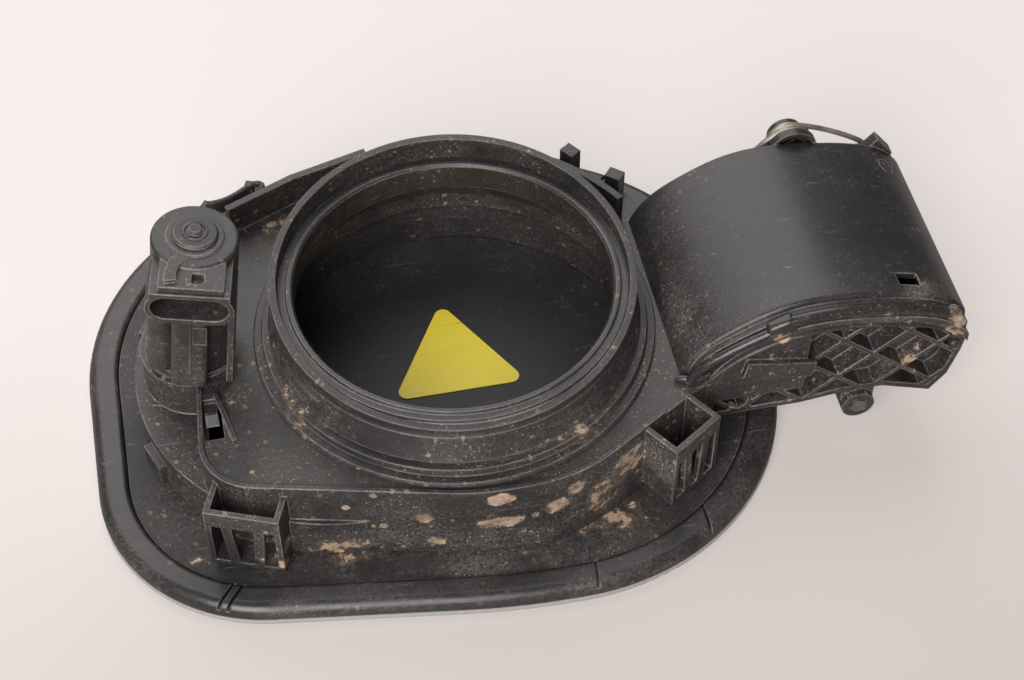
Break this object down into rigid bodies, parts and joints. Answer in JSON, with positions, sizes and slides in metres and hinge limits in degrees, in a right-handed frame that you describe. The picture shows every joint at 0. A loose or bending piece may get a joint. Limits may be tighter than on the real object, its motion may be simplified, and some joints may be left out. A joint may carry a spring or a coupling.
{
  "type": "charging port flap",
  "caption": "Rounded vehicle flap on an enclosed hinge pocket, with a stepped inlet collar, clip-in housing and a leaning push latch.",
  "frame": {"origin": "centre of the round inlet opening, in the plane of the housing plate's top face; the part lies on the flap's painted face 28.5 mm below", "axes": "+X from the lock to the hinge pocket, +Y along the hinge pin away from the pictured side, +Z out of the back of the flap along the inlet axis"},
  "size_m": [0.2137, 0.146, 0.0691],
  "materials": {
    "painted_skin": "pale silver body paint under clear coat",
    "panel_black": "fine grained moulded plastic",
    "housing_black": "moulded plastic with mud splashes",
    "soft_black": "soft moulded rubber",
    "lip_black": "smooth glossy rubber",
    "label_yellow": "bare printed film",
    "bush_grey": "plain acetal",
    "inner_white": "plain acetal",
    "steel": "zinc plated",
    "spring_steel": "dark drawn wire",
    "contact_tin": "tin plated"
  },
  "bodies": {
    "housing": {"housing": "housing_black", "pocket_cover": "housing_black", "inlet_collar": "soft_black", "inlet_seal": "soft_black", "flap_seal": "soft_black", "hinge_pin": "steel", "pin_ring": "steel", "toggle_spring": "spring_steel", "lock_body": "housing_black", "lock_lid": "housing_black", "vent_cap": "soft_black", "connector_pins": "contact_tin", "lock_motor": "steel", "guide_bush": "bush_grey", "plunger_spring": "steel"},
    "flap": {"outer_skin": "painted_skin", "inner_panel": "panel_black", "rim_lip": "lip_black", "triangle_label": "label_yellow", "latch_catch": "bush_grey", "hinge_arm": "panel_black", "arm_bushes": "bush_grey", "arm_screws": "steel"},
    "slider": {"slider_cup": "inner_white"},
    "plunger": {"plunger": "inner_white"}
  },
  "joints": [
    {"name": "flap_hinge", "type": "hinge", "parent": "housing", "child": "flap", "pos_m": [0.0965, 0, -0.019], "axis": [0, -1, 0], "range_deg": [0, 95]},
    {"name": "plunger_slide", "type": "slide", "parent": "housing", "child": "slider", "axis": [0.1305, 0, 0.9914], "range_m": [0, 0.006], "deforming": ["plunger_spring"]},
    {"name": "plunger_turn", "type": "hinge", "parent": "slider", "child": "plunger", "pos_m": [-0.0636, 0.0071, 0], "axis": [0.1305, 0, 0.9914], "range_deg": [0, 90]}
  ],
  "couplings": [
    {"joint": "plunger_turn", "follows": "plunger_slide", "rad_per_m": 261.8}
  ]
}
